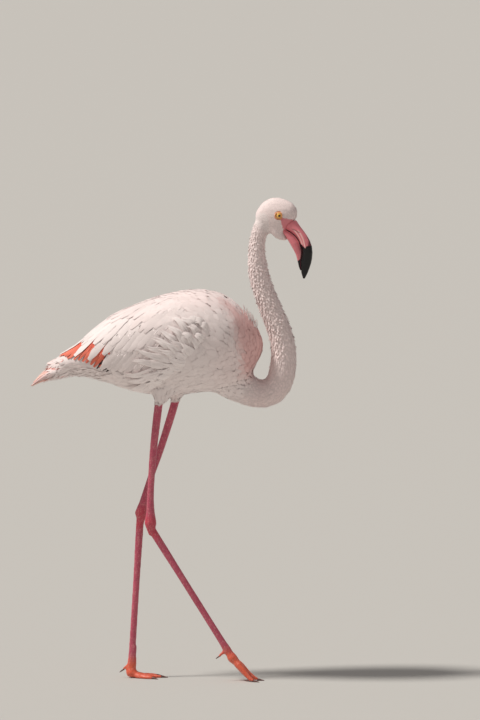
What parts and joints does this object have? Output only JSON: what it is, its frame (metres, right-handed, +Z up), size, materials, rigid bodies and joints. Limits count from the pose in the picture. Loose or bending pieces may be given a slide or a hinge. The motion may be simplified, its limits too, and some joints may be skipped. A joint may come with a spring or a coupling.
{
  "type": "greater flamingo",
  "caption": "Life-size greater flamingo in mid-stride, with an S-curved neck, bent bill, folded wings and long bare legs on webbed feet.",
  "frame": {"origin": "on the floor, under the middle of the whole bird", "axes": "+X forward, the way the bird walks; +Y to the bird's left; +Z up"},
  "size_m": [0.6356, 0.21, 1.0903],
  "materials": {
    "plumage": "soft white contour feathers with a faint pink flush",
    "wing_feathers": "white and pale pink wing feathers with coral red coverts",
    "tail_feathers": "salmon pink tail feathers under white coverts",
    "bill_horn": "smooth horn, pink with a glossy black hooked tip",
    "eye": "wet amber iris with a black pupil",
    "leg_skin": "rose pink skin of small flat scales",
    "foot_skin": "coral orange webbed skin with scutes on the toes",
    "claw_horn": "dark brown horn"
  },
  "bodies": {
    "root": {"trunk": "plumage", "neck_lower": "plumage", "neck_middle": "plumage", "neck_upper": "plumage", "head": "plumage", "thigh_right": "plumage", "thigh_left": "plumage", "wing_right": "wing_feathers", "wing_left": "wing_feathers", "tail": "tail_feathers", "bill_upper": "bill_horn", "bill_lower": "bill_horn", "eye_right": "eye", "eye_left": "eye", "shank_right": "leg_skin", "tarsus_right": "leg_skin", "foot_right": "foot_skin", "claw_inner_right": "claw_horn", "claw_middle_right": "claw_horn", "claw_outer_right": "claw_horn", "claw_hind_right": "claw_horn", "shank_left": "leg_skin", "tarsus_left": "leg_skin", "foot_left": "foot_skin", "claw_inner_left": "claw_horn", "claw_middle_left": "claw_horn", "claw_outer_left": "claw_horn", "claw_hind_left": "claw_horn"}
  },
  "joints": []
}
